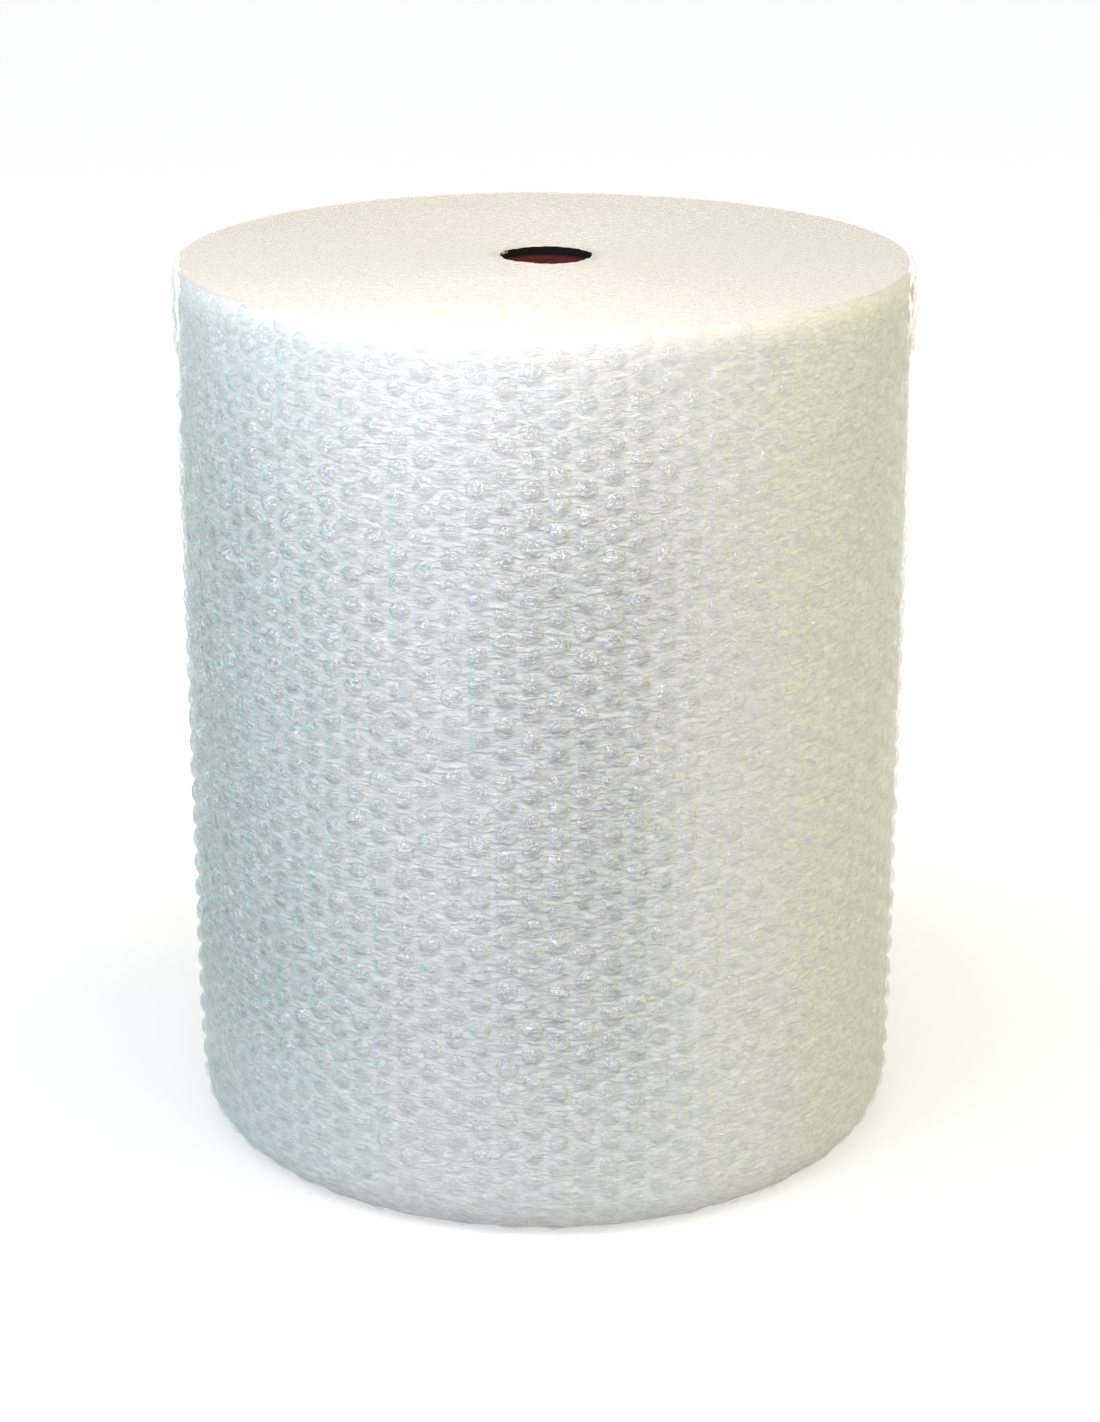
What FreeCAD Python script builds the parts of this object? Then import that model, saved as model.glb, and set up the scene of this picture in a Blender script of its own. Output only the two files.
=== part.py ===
import FreeCAD, Part
import math
import os

# A roll of large-bubble cushioning film, standing on its end on the floor, wound on a paperboard core tube.
# Millimetres. The origin is at the middle of the lower end, on the floor, and +Z runs up the core.
# The camera side is -Y, and the free end of the film, its tail, lies at the back, on +Y.
# Seen from above the film winds outwards clockwise, so the roll is a little wider at -X than at +X.

# The film web
WEB_WIDTH = 750.0  # across the web, which is the height of the roll as it stands
ROLL_DIAMETER = 616.0  # over the bubble crowns, from -X to +X
TURN_THICKNESS = 5.7  # one turn as wound, which is also the step at the tail
BUBBLE_HEIGHT = 5.0  # of a bubble crown above the film between the bubbles, as it bulges from a wound roll
COLUMN_SPACING = 20.45  # from one column of bubbles to the next, round the roll
TOP_EDGE_HEIGHT = 9.0  # of the soft upper edge
TOP_EDGE_DEPTH = 8.0  # of the soft upper edge, inwards from the bubble crowns
FLOOR_EDGE_RADIUS = 37.0  # of the lower edge, which the roll's weight has crushed rounder
FLOOR_EDGE_FLATS = 2  # the flats that stand for that rounding
RIDGE_FLATS = 4  # the flats that stand for the rounding of a column of bubbles

# The turns that show in the ends. Nearly four wound turns make one shown turn.
SHOWN_TURN_THICKNESS = 21.4
TURN_GAP = 1.2  # clear space between one shown turn and the next

# The core tube
CORE_BORE = 76.2  # a standard core of three inches
CORE_WALL = 5.0
CORE_RECESS = 9.0  # of the tube's upper end below the top of the film

# How far a tool runs past what it cuts
OVERRUN = 5.0

# What follows from the sizes above. The root is the film between the bubbles.
core_radius = CORE_BORE / 2 + CORE_WALL
tail_root_radius = ROLL_DIAMETER / 2 - TURN_THICKNESS / 2 - BUBBLE_HEIGHT
shown_turns = max(2, round((tail_root_radius - core_radius) / SHOWN_TURN_THICKNESS))
shown_turn_pitch = (tail_root_radius - core_radius) / shown_turns
columns_per_half_turn = round(math.pi * tail_root_radius / COLUMN_SPACING)
column_angle = math.pi / columns_per_half_turn

UP = FreeCAD.Vector(0, 0, 1)
DOWN = FreeCAD.Vector(0, 0, -1)


def half_turns(start_radius, growth, count):
    """(centre on Y, radius, side) of each half circle of a spiral that starts on +Y and grows clockwise.

    Side is 1 for a half circle that bulges to +X and -1 for one that bulges to -X. The centres change
    places at each half turn, so the half circles meet without a corner.
    """
    rows = []
    for index in range(count):
        side = 1 if index % 2 == 0 else -1
        rows.append((-side * growth / 4, start_radius + growth * (2 * index + 1) / 4, side))
    return rows


def on_half_turn(row, angle, beyond=0.0):
    """A point of a half circle, by the angle from where it starts, or one that lies beyond it."""
    centre, radius, side = row
    reach = side * (radius + beyond)
    return FreeCAD.Vector(reach * math.sin(angle), centre + reach * math.cos(angle), 0)


def half_circle(row):
    return Part.Arc(on_half_turn(row, 0), on_half_turn(row, math.pi / 2), on_half_turn(row, math.pi)).toShape()


def line(start, end):
    return Part.LineSegment(start, end).toShape()


def flat(points):
    """A flat face with these corners."""
    return Part.Face(Part.makePolygon([*points, points[0]]))


def bubble_rise(columns):
    """How far the roll's outline stands out of the film, by how many columns of bubbles round it lies."""
    across = columns % 1
    return BUBBLE_HEIGHT * 4 * across * (1 - across)


def bubbled_half(row):
    """Half of the roll at full height, with each column of bubbles as one upright ridge."""
    outline = [
        on_half_turn(row, column_angle * step / RIDGE_FLATS, bubble_rise(step / RIDGE_FLATS))
        for step in range(columns_per_half_turn * RIDGE_FLATS + 1)
    ]
    return flat(outline).extrude(UP * WEB_WIDTH)


def soft_outline():
    """(depth in from the bubble crowns, height) of each level of the roll's outline, from the floor up.

    Between the two soft edges the outline stands clear of the crowns, so that only the edges are cut.
    """
    quarter = [math.pi / 2 * index / FLOOR_EDGE_FLATS for index in range(FLOOR_EDGE_FLATS + 1)]
    floor_edge = [(FLOOR_EDGE_RADIUS * (1 - math.sin(a)), FLOOR_EDGE_RADIUS * (1 - math.cos(a))) for a in quarter]
    last_depth, last_height = floor_edge[-2]
    floor_slope = (FLOOR_EDGE_RADIUS - last_height) / last_depth
    top_slope = TOP_EDGE_HEIGHT / TOP_EDGE_DEPTH
    return [
        *floor_edge[:-1],
        (-OVERRUN, FLOOR_EDGE_RADIUS + OVERRUN * floor_slope),
        (-OVERRUN, WEB_WIDTH - TOP_EDGE_HEIGHT - OVERRUN * top_slope),
        (TOP_EDGE_DEPTH, WEB_WIDTH),
    ]


def soft_half(row):
    """What half of the roll is trimmed by: the soft outline, with one flat at each column of bubbles."""
    rings = [
        [
            on_half_turn(row, column_angle * index, BUBBLE_HEIGHT - depth) + UP * height
            for index in range(columns_per_half_turn + 1)
        ]
        for depth, height in soft_outline()
    ]
    sides = [
        flat([lower[index], lower[index + 1], upper[index + 1], upper[index]])
        for lower, upper in zip(rings, rings[1:])
        for index in range(columns_per_half_turn)
    ]
    back = flat([ring[0] for ring in rings] + [ring[-1] for ring in reversed(rings)])
    return Part.makeSolid(Part.makeShell([flat(rings[0]), *sides, back, flat(rings[-1])]))


def gap_between_turns():
    """The thin spiral space between the turns, from one turn above the core to the mouth under the tail."""
    half_count = 2 * (shown_turns - 1)
    inner = half_turns(core_radius + shown_turn_pitch, shown_turn_pitch, half_count)
    outer = half_turns(core_radius + shown_turn_pitch + TURN_GAP, shown_turn_pitch, half_count)
    walls = [half_circle(row) for row in [*inner, *outer]]
    start = line(on_half_turn(inner[0], 0), on_half_turn(outer[0], 0))
    mouth = line(on_half_turn(inner[-1], math.pi), on_half_turn(outer[-1], math.pi))
    face = Part.Face(Part.Wire(Part.__sortEdges__([*walls, start, mouth])))
    face.translate(DOWN * OVERRUN)
    return face.extrude(UP * (WEB_WIDTH + 2 * OVERRUN))


def bubble_film():
    """The wound film, one long sheet and so one solid, with its turns, its tail and its bubble columns."""
    halves = [bubbled_half(row).common(soft_half(row)) for row in half_turns(tail_root_radius, TURN_THICKNESS, 2)]
    core_space = Part.makeCylinder(core_radius, WEB_WIDTH + 2 * OVERRUN, DOWN * OVERRUN)
    return halves[0].fuse([halves[1]]).cut([core_space, gap_between_turns()]).removeSplitter()


def core_tube():
    """The paperboard tube. It stands on the floor with the film, and its upper end is a little way down."""
    length = WEB_WIDTH - CORE_RECESS
    return Part.makeCylinder(core_radius, length).cut(Part.makeCylinder(CORE_BORE / 2, length))


def main():
    os.makedirs("parts", exist_ok=True)
    for name, shape in {"bubble_film": bubble_film(), "core_tube": core_tube()}.items():
        print(name, "solids:", len(shape.Solids), "valid:", shape.isValid(), "litres:", round(shape.Volume / 1e6, 2))
        shape.Solids[0].exportStep(f"parts/{name}.step")


main()
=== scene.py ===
# %% [markdown]
# # A roll of bubble film
#
# This lesson dresses one object: a wide roll of clear cushioning film with large air bubbles, wound on a
# paperboard core and standing on its end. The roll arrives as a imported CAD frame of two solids. The core
# tube is right as it is and only needs a material. The wound film is a plain spiral with upright ridges, so
# its visible film is made here, in the same place and at the same size.

# %% The frame
import math

import bpy
import numpy as np
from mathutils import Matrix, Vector


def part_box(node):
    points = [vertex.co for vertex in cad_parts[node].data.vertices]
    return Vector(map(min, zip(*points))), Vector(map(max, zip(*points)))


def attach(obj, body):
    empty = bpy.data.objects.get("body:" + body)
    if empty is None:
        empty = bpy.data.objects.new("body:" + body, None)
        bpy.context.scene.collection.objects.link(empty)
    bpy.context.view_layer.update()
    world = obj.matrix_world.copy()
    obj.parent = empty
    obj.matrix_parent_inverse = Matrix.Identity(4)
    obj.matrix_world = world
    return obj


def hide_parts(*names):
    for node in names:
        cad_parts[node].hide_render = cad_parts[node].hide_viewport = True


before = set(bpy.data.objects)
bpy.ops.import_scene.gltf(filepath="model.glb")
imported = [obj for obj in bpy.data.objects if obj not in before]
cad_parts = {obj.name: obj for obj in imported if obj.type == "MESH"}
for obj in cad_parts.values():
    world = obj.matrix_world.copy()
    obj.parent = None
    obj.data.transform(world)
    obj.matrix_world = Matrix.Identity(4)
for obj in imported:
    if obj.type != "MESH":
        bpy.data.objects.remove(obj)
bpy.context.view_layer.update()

# %% [markdown]
# ## Small helpers
#
# Colours are written as the hex values a painter would pick on a screen. Blender's shaders work in linear
# light, so one function turns one into the other. Another adds a node to any tree, shader or geometry,
# with its settings and what its inputs are fed by, so that a tree reads as a list of steps.

# %% Helpers for colours and nodes
MM = 0.001  # of a metre, which is the frame's unit


def linear(hex_colour, alpha=1.0):
    channels = [int(hex_colour[i:i + 2], 16) / 255 for i in (1, 3, 5)]
    return (*[c / 12.92 if c <= 0.04045 else ((c + 0.055) / 1.055) ** 2.4 for c in channels], alpha)


def add(tree, kind, inputs=None, **settings):
    """Adds a node. An input is fed by a socket, by a node's first output, or by a plain value."""
    node = tree.nodes.new(kind)
    for name, value in settings.items():
        setattr(node, name, value)
    for key, value in (inputs or {}).items():
        if isinstance(value, bpy.types.Node):
            value = value.outputs[0]
        if isinstance(value, bpy.types.NodeSocket):
            tree.links.new(value, node.inputs[key])
        else:
            node.inputs[key].default_value = value
    return node


def centred(tree, noise):
    """A noise's colour as a push to any side, of 0.5 at most."""
    ends = {0: noise.outputs["Color"], 1: (0.5, 0.5, 0.5)}
    return add(tree, "ShaderNodeVectorMath", ends, operation="SUBTRACT")


def new_material(name):
    """An empty material: its tree, and its output node."""
    material = bpy.data.materials.new(name)
    material.use_nodes = True
    material.node_tree.nodes.clear()
    return material, material.node_tree, material.node_tree.nodes.new("ShaderNodeOutputMaterial")


def new_plain(name, colour, roughness):
    """A material of one colour."""
    material, tree, output = new_material(name)
    shader = add(tree, "ShaderNodeBsdfPrincipled", {"Base Color": linear(colour), "Roughness": roughness})
    tree.links.new(shader.outputs[0], output.inputs[0])
    return material


print("white is", linear("#ffffff"))

# %% [markdown]
# ## The sizes of the roll
#
# The frame's box gives the width of the film, which is the roll's height, and the radius over the bubbles.
# The rest are the film's own sizes. The film lies on a spiral that starts at the tail, on +Y, and grows by
# one turn's thickness all the way round. Up the roll, its outline is straight with a soft upper edge and a
# crushed lower edge. So a place on the film is given by a turn angle, by how far along the outline it lies,
# and by how far it stands out of the film.

# %% Sizes
film_low, film_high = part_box("bubble_film")
core_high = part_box("core_tube")[1]
WEB_WIDTH = film_high.z
CORE_RADIUS = core_high.x
CORE_TOP = core_high.z
TURN = 5.7 * MM  # thickness of one wound turn
BUBBLE_HEIGHT = 5.0 * MM
BUBBLE_RADIUS = 9.6 * MM
COLUMNS = 92  # columns of bubbles round the roll, and every other one stands half a step higher
ROW_STEP = 22.06 * MM  # from one bubble to the next up a column
TAIL_ROOT = (film_high.x - film_low.x) / 2 - TURN / 2 - BUBBLE_HEIGHT  # radius of the film under the tail
LOWER_EDGE = (32 * MM, 37 * MM)  # depth and height of the crushed lower edge
UPPER_EDGE = (3 * MM, 9 * MM)  # and of the soft upper edge
LOWER_POINTS, UPPER_POINTS = 24, 12  # of the outline, on each of the two
FULL_TURN = 2 * math.pi
COLUMN_STEP = FULL_TURN * TAIL_ROOT / COLUMNS
PROBE = 1.5 * MM  # how far up and down the outline its slope is measured
NOT_ZERO = 1e-9  # the least length that is divided by


def root_radius(angle):
    """Radius of the outer turn's base film, by the angle clockwise from the tail as seen from above."""
    return TAIL_ROOT + TURN * angle / FULL_TURN


def make_outline():
    """(depth in from the base film, height) of close points up the roll's outline."""
    lower = np.linspace(math.pi / 2, 0, LOWER_POINTS)
    upper = np.linspace(0, math.pi / 2, UPPER_POINTS)
    rows = [(LOWER_EDGE[0] * (1 - math.cos(a)), LOWER_EDGE[1] * (1 - math.sin(a))) for a in lower]
    rows += [(UPPER_EDGE[0] * (1 - math.cos(a)), WEB_WIDTH - UPPER_EDGE[1] * (1 - math.sin(a))) for a in upper]
    return np.array(rows)


OUTLINE = make_outline()
OUTLINE_AT = np.concatenate([[0], np.cumsum(np.hypot(*np.diff(OUTLINE, axis=0).T))])
OUTLINE_LENGTH = OUTLINE_AT[-1]
TOP_MARGIN = 11.0 * MM  # from the cut edge to the highest bubbles
HIGHEST_ROW = (OUTLINE_LENGTH - TOP_MARGIN) / ROW_STEP  # how far up the outline they lie, in rows
IN_STEP_COLUMN = 44  # where the next turn's bubbles lie right behind the outer ones


def on_film(angle, along, out=0.0):
    """Points of the outer film and the way they face. Every argument may be an array."""
    def outline(at):
        return np.interp(at, OUTLINE_AT, OUTLINE[:, 0]), np.interp(at, OUTLINE_AT, OUTLINE[:, 1])

    below, above = outline(np.asarray(along) - PROBE), outline(np.asarray(along) + PROBE)
    rise, retreat = above[1] - below[1], above[0] - below[0]
    length = np.maximum(np.hypot(rise, retreat), NOT_ZERO)
    facing_out, facing_up = rise / length, retreat / length
    depth, height = outline(along)
    reach = root_radius(angle) - depth + facing_out * out
    spread = 0 * reach  # gives the heights the shape of the reaches
    place = np.stack([reach * np.sin(angle), reach * np.cos(angle), height + facing_up * out + spread], -1)
    facing = np.stack([facing_out * np.sin(angle), facing_out * np.cos(angle), facing_up + spread], -1)
    return place, facing


print(f"film {WEB_WIDTH:.3f} m wide, outline {OUTLINE_LENGTH:.3f} m, columns {COLUMN_STEP / MM:.2f} mm apart")

# %% [markdown]
# Where the bubbles of two turns lie in step, the eye looks through both and sees clear discs. Elsewhere the
# film looks hazy, and it is also kept hazy on the side lit from the right, where the warm light washes the
# discs out, and near the top and the bottom. Two short tables say where: one by the column, clockwise from
# the tail, and one by the way up. The clearer the film, the more painted shade its discs and crowns get.

# %% Clear and hazy patches
CLARITY = {
    0: 0.5, 12: 0.3, 26: 0.08, 36: 0.1, 40: 0.25, 43: 0.85, 46: 0.85, 50: 0.5, 56: 0.75, 62: 0.95, 66: 0.85,
    72: 0.4, 80: 0.4, 92: 0.5,
}  # by column, from haze at 0 to clear at 1
CLARITY_UP = {0.0: 0.15, 0.12: 0.55, 0.2: 1.0, 0.58: 1.0, 0.68: 0.6, 0.76: 0.1}  # its share by metres up


def clarity(angle, along):
    """How clear the outer turn looks, by the turn angle and the way up the outline."""
    column = np.asarray(angle) % FULL_TURN / FULL_TURN * COLUMNS
    around = np.interp(column, list(CLARITY), list(CLARITY.values()))
    return around * np.interp(along, list(CLARITY_UP), list(CLARITY_UP.values()))


print("clearest columns:", [column for column, value in CLARITY.items() if value > 0.8])

# %% [markdown]
# ## The wound film behind the bubbles
#
# Clear polyethylene is nearly invisible as one sheet, but a roll holds forty-odd turns of it, each with two
# films and the air between. Together they scatter light like milk. So the body of the roll is an opaque
# milky film, and only the outer bubbles are see-through. Soft discs of painted shade darken the film under
# each outer bubble, and where the bubbles of the next turn show through. The next turn's lattice has the
# same spacing on a slightly smaller circle, so it drifts in and out of step with the outer one round the
# roll. A disc is found by wrapping the film's own UV map, whose unit is one column by one row, on two square
# lattices that together make the staggered one. The discs fade where the film is hazy, and a drawn-out noise
# breaks them into short dashes. Fine creases run round the roll, as in film pulled tight, with painted shade
# in their hollows and a painted sheen on their crests. At the shoulder the film is painted paler, because
# light comes in through the cut ends as well.

# %% Material: milky wound film
def disc_distance(tree, uv, shift):
    """How far a point of the film is from the nearest bubble of a staggered lattice, in metres."""
    nearest = []
    for across, up in ((0.0, 0.0), (1.0, 0.5)):
        offset = (shift[0] + across, shift[1] + up, 0)
        moved = add(tree, "ShaderNodeVectorMath", {0: uv, 1: offset}, operation="ADD")
        limits = {0: moved, 1: (1, 0.5, 1), 2: (-1, -0.5, -1)}
        wrapped = add(tree, "ShaderNodeVectorMath", limits, operation="WRAP")
        sized = {0: wrapped, 1: (COLUMN_STEP, ROW_STEP, 0)}
        sized = add(tree, "ShaderNodeVectorMath", sized, operation="MULTIPLY")
        nearest.append(add(tree, "ShaderNodeVectorMath", {0: sized}, operation="LENGTH").outputs["Value"])
    return add(tree, "ShaderNodeMath", {0: nearest[0], 1: nearest[1]}, operation="MINIMUM")


def make_milky_film():
    """Blown polyethylene film, wound in many turns. The eye sees a soft glossy white with cool shade in it."""
    material, tree, output = new_material("wound polyethylene film")
    uv = add(tree, "ShaderNodeUVMap", uv_map="film")
    wander = add(tree, "ShaderNodeTexNoise", {"Vector": uv, "Scale": 0.8, "Detail": 2.0})
    spread = centred(tree, wander)

    def discs(turns_in, stray, core, rim):
        """Soft discs of painted shade where a turn's bubbles lie, turns_in further in, on a smaller circle."""
        share = 1 - turns_in * TURN / TAIL_ROOT
        squeezed = add(tree, "ShaderNodeVectorMath", {0: uv, 1: (share, 1, 0)}, operation="MULTIPLY")
        bent = add(
            tree, "ShaderNodeVectorMath", {0: spread, 1: (stray, stray, 0), 2: squeezed},
            operation="MULTIPLY_ADD",
        )
        distance = disc_distance(tree, bent, (IN_STEP_COLUMN * (1 - share) - 0.5, -HIGHEST_ROW))
        return add(
            tree, "ShaderNodeMapRange",
            {"Value": distance, "From Min": core, "From Max": rim, "To Min": 1.0, "To Max": 0.0},
            interpolation_type="SMOOTHSTEP",
        )

    # Painted shade: soft darker discs under each outer bubble and where the next turn's bubbles show through
    under = discs(turns_in=0, stray=0.16, core=4 * MM, rim=10 * MM)
    next_turn_shade = discs(turns_in=1, stray=0.5, core=4 * MM, rim=11 * MM)
    clouds = add(tree, "ShaderNodeTexNoise", {"Vector": uv, "Scale": 0.16, "Detail": 3.0})
    patch = add(
        tree, "ShaderNodeMapRange",
        {"Value": clouds, "From Min": 0.3, "From Max": 0.7, "To Min": 0.1, "To Max": 0.5},
    )
    disc_shade = add(tree, "ShaderNodeMath", {0: next_turn_shade, 1: patch}, operation="MULTIPLY")
    disc_shade = {0: under, 1: 0.85, 2: disc_shade}
    disc_shade = add(tree, "ShaderNodeMath", disc_shade, operation="MULTIPLY_ADD", use_clamp=True)
    clear = add(tree, "ShaderNodeAttribute", attribute_name="clear").outputs["Fac"]
    disc_shade = add(tree, "ShaderNodeMath", {0: disc_shade, 1: clear}, operation="MULTIPLY")
    drawn = add(tree, "ShaderNodeVectorMath", {0: uv, 1: (0.8, 1.9, 1.0)}, operation="MULTIPLY")
    mottle = add(tree, "ShaderNodeTexNoise", {"Vector": drawn, "Scale": 2.2, "Detail": 4.0, "Roughness": 0.65})
    mottled = add(
        tree, "ShaderNodeMapRange",
        {"Value": mottle, "From Min": 0.38, "From Max": 0.6, "To Min": 1.35, "To Max": 0.1},
    )
    disc_shade = add(tree, "ShaderNodeMath", {0: disc_shade, 1: mottled}, operation="MULTIPLY")
    pulled = add(tree, "ShaderNodeVectorMath", {0: uv, 1: (0.8, 2.2, 1.0)}, operation="MULTIPLY")
    crease = add(
        tree, "ShaderNodeTexNoise",
        {"Vector": pulled, "Scale": 2.6, "Detail": 5.0, "Roughness": 0.6, "Distortion": 0.8},
    )
    crease_shade_and_sheen = add(
        tree, "ShaderNodeMapRange",
        {"Value": crease, "From Min": 0.35, "From Max": 0.68},
    )
    # Painted shade and sheen: the film is darker in the crease hollows and lighter on their crests
    film = add(
        tree, "ShaderNodeMix", {"Factor": crease_shade_and_sheen, "A": linear("#bcc1bf"), "B": linear("#d8dbd8")},
        data_type="RGBA",
    )
    # Painted shade: the discs darken the film towards this grey
    colour = add(
        tree, "ShaderNodeMix", {"Factor": disc_shade, "A": film.outputs["Result"], "B": linear("#8d9796")},
        data_type="RGBA",
    )
    up = add(tree, "ShaderNodeSeparateXYZ", {0: uv}).outputs["Y"]
    # Painted light: the film is paler at the shoulder, where light comes in through the cut ends
    shoulder = add(
        tree, "ShaderNodeMapRange",
        {"Value": up, "From Min": HIGHEST_ROW - 0.9, "From Max": HIGHEST_ROW + 0.4},
        interpolation_type="SMOOTHSTEP",
    )
    colour = add(
        tree, "ShaderNodeMix", {"Factor": shoulder, "A": colour.outputs["Result"], "B": linear("#e9e7e1")},
        data_type="RGBA",
    )
    relief = add(tree, "ShaderNodeMapRange", {"Value": clear, "To Min": 0.5, "To Max": 1.2})
    bump = add(tree, "ShaderNodeBump", {"Strength": relief, "Distance": 4.5 * MM, "Height": crease})
    shader = add(
        tree, "ShaderNodeBsdfPrincipled",
        {
            "Base Color": colour.outputs["Result"], "Roughness": 0.15, "IOR": 1.5, "Specular IOR Level": 1.0,
            "Normal": bump,
        },
    )
    tree.links.new(shader.outputs[0], output.inputs[0])
    return material


milky_film = make_milky_film()
print(milky_film.name, len(milky_film.node_tree.nodes), "nodes")

# %% [markdown]
# Each end of the roll is full of thin slit edges. One edge lets most light past, and many together make a
# pale, slightly warm ground. So the single edges are mostly clear, and the caps behind them are opaque in
# the same colours. Round the core the film is folded over and looks solid. Inside the core the film is a
# near-black brown: the tube's brown seen through it, darkened by painted shade.

# %% Material: slit film edges
def make_edge_film(name, alpha):
    """Polyethylene film slit by a blade and seen edge-on. The eye sees bright white lines with soft shade."""
    material, tree, output = new_material(name)
    place = add(tree, "ShaderNodeTexCoord").outputs["Object"]
    grain = add(
        tree, "ShaderNodeTexNoise",
        {"Vector": place, "Scale": 1 / (7 * MM), "Detail": 4.0, "Roughness": 0.65},
    )
    light = add(
        tree, "ShaderNodeMapRange",
        {"Value": grain, "From Min": 0.35, "From Max": 0.65},
    )
    colour = add(
        tree, "ShaderNodeMix", {"Factor": light, "A": linear("#f6f0e5"), "B": linear("#fcf8ef")},
        data_type="RGBA",
    )
    level = add(tree, "ShaderNodeVectorMath", {0: place, 1: (1, 1, 0)}, operation="MULTIPLY")
    reach = add(tree, "ShaderNodeVectorMath", {0: level}, operation="LENGTH").outputs["Value"]
    folded = add(
        tree, "ShaderNodeMapRange",
        {
            "Value": reach, "From Min": CORE_RADIUS, "From Max": CORE_RADIUS + TURN,
            "To Min": 0.9, "To Max": alpha,
        },
    )
    shader = add(
        tree, "ShaderNodeBsdfPrincipled",
        {
            "Base Color": colour.outputs["Result"], "Roughness": 0.4, "IOR": 1.5, "Specular IOR Level": 0.4,
            "Alpha": folded,
        },
    )
    tree.links.new(shader.outputs[0], output.inputs[0])
    return material


edge_film = make_edge_film("slit polyethylene edges", 0.27)
packed_film = make_edge_film("packed polyethylene turns", 1.0)
# Painted shade: the film round the core is near black, the tube's brown seen through it and darkened
core_shade_film = new_plain("film round the core, in painted shade", "#160706", 0.8)
print([material.name for material in (edge_film, packed_film, core_shade_film)])

# %% [markdown]
# The body's skin is a grid: columns of points round the spiral and rows up the outline. Past the full turn
# the tail slopes down to the turn below. At each end the skin rolls over and drops to a cap less than a
# millimetre down, under the cut edges that are made later. The upper cap runs over the rim of the core tube
# as a ragged lip, and a wall closes the body round the tube. The lip's underside and that wall are coloured
# near black, a painted shade. The film isn't taut, so slow waves of a fraction of a millimetre push the grid
# in and out, which breaks up the reflections.

# %% The body of the roll
BODY_STEPS = 6  # of the grid, round each column of bubbles
BODY_ROWS = 124
SKIN_DEPTH = 0.3 * MM  # of the skin below the base film
SLACK_WAVES = 26
WAVES_ROUND = (3, 60)  # the least and the most of them in a turn
WAVES_UP = (-26, 26)
SLACK = 0.12 * MM  # height of each wave
SLACK_FADE = 20 * MM  # from each end of the outline, where the film is held
CAP_DEPTH = 0.8 * MM  # of the caps below the cut edges of the film
CAP_START = 1.6 * MM  # of each cap, in from the edge of the outline
CAP_ROUNDING = 0.4 * MM
CAP_LAP = 0.2 * MM  # of the tail's caps below those of the columns that it lies over
RIM_ROWS = 1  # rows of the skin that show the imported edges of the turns
LIP_REACH = 5.2 * MM  # of the film's soft mouth over the rim of the core tube
LIP_WAVE = 0.5 * MM
LIP_GAP = 0.3 * MM  # between the core tube's rim and the film over it
TAIL_LIP = 20.5 * MM  # the film's last strip, which slopes down to the turn below
TAIL_PLACES = (0.4, 2, 5, 9, 13, 17)  # of its points, in millimetres past the full turn
TAIL_END = 0.05  # the millimetres in which its cut edge turns down
TAIL_EDGE = 0.7 * MM  # of that edge off the turn below
TAIL_TUCK = 0.5 * MM  # of it into that turn
ROWS_UNDER = (-1.2, -0.4, -0.2)  # the rings of the lower cap, in rows of the film's map
ROWS_OVER = (0.2, 0.4, 1.2, 1.6)  # and of the upper cap, past the top row
PACKED, PAINTED_SHADE = 1, 2  # material slots of the body, whose first is the milky film


def link_piece(name, vertices, faces, material, smooth=True):
    """A mesh object at the origin, its place in its mesh."""
    mesh = bpy.data.meshes.new(name)
    mesh.from_pydata([tuple(v) for v in vertices], [], [tuple(int(i) for i in f) for f in faces])
    mesh.validate()
    mesh.polygons.foreach_set("use_smooth", [smooth] * len(mesh.polygons))
    mesh.materials.append(material)
    piece = bpy.data.objects.new(name, mesh)
    bpy.context.scene.collection.objects.link(piece)
    return piece


def grid_faces(around, up):
    """Quads of a grid of points that is stored one column after another."""
    first = (np.arange(around - 1)[:, None] * up + np.arange(up - 1)).ravel()
    return np.stack([first, first + up, first + up + 1, first + 1], 1)[:, ::-1]


def body_columns():
    """(turn angle of each column, way up of each row of the skin, drop of the tail, slack of the film)."""
    rng = np.random.default_rng(11)
    beyond = np.array([*TAIL_PLACES, TAIL_LIP / MM, TAIL_LIP / MM + TAIL_END]) * MM
    ease = 0.5 - 0.5 * np.cos(math.pi * np.clip(beyond / TAIL_LIP, 0, 1))
    drop = (TURN - TAIL_EDGE) * ease
    drop[-1] = TURN + TAIL_TUCK
    full = COLUMNS * BODY_STEPS + 1
    angle = np.concatenate([np.linspace(0, FULL_TURN, full), FULL_TURN + beyond / TAIL_ROOT])
    drop = np.concatenate([np.zeros(full), drop])
    along = np.linspace(0, OUTLINE_LENGTH, BODY_ROWS)
    turns, climbs = np.meshgrid(angle, along, indexing="ij")
    slack = np.zeros_like(turns)
    for _ in range(SLACK_WAVES):
        waves_round, waves_up = rng.integers(*WAVES_ROUND), rng.uniform(*WAVES_UP)
        phase = rng.uniform(0, FULL_TURN)
        slack += np.sin(waves_round * turns + waves_up * climbs / OUTLINE_LENGTH * FULL_TURN + phase)
    slack *= SLACK * np.clip(np.minimum(climbs, OUTLINE_LENGTH - climbs) / SLACK_FADE, 0, 1)
    return angle, along, drop, slack


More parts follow.
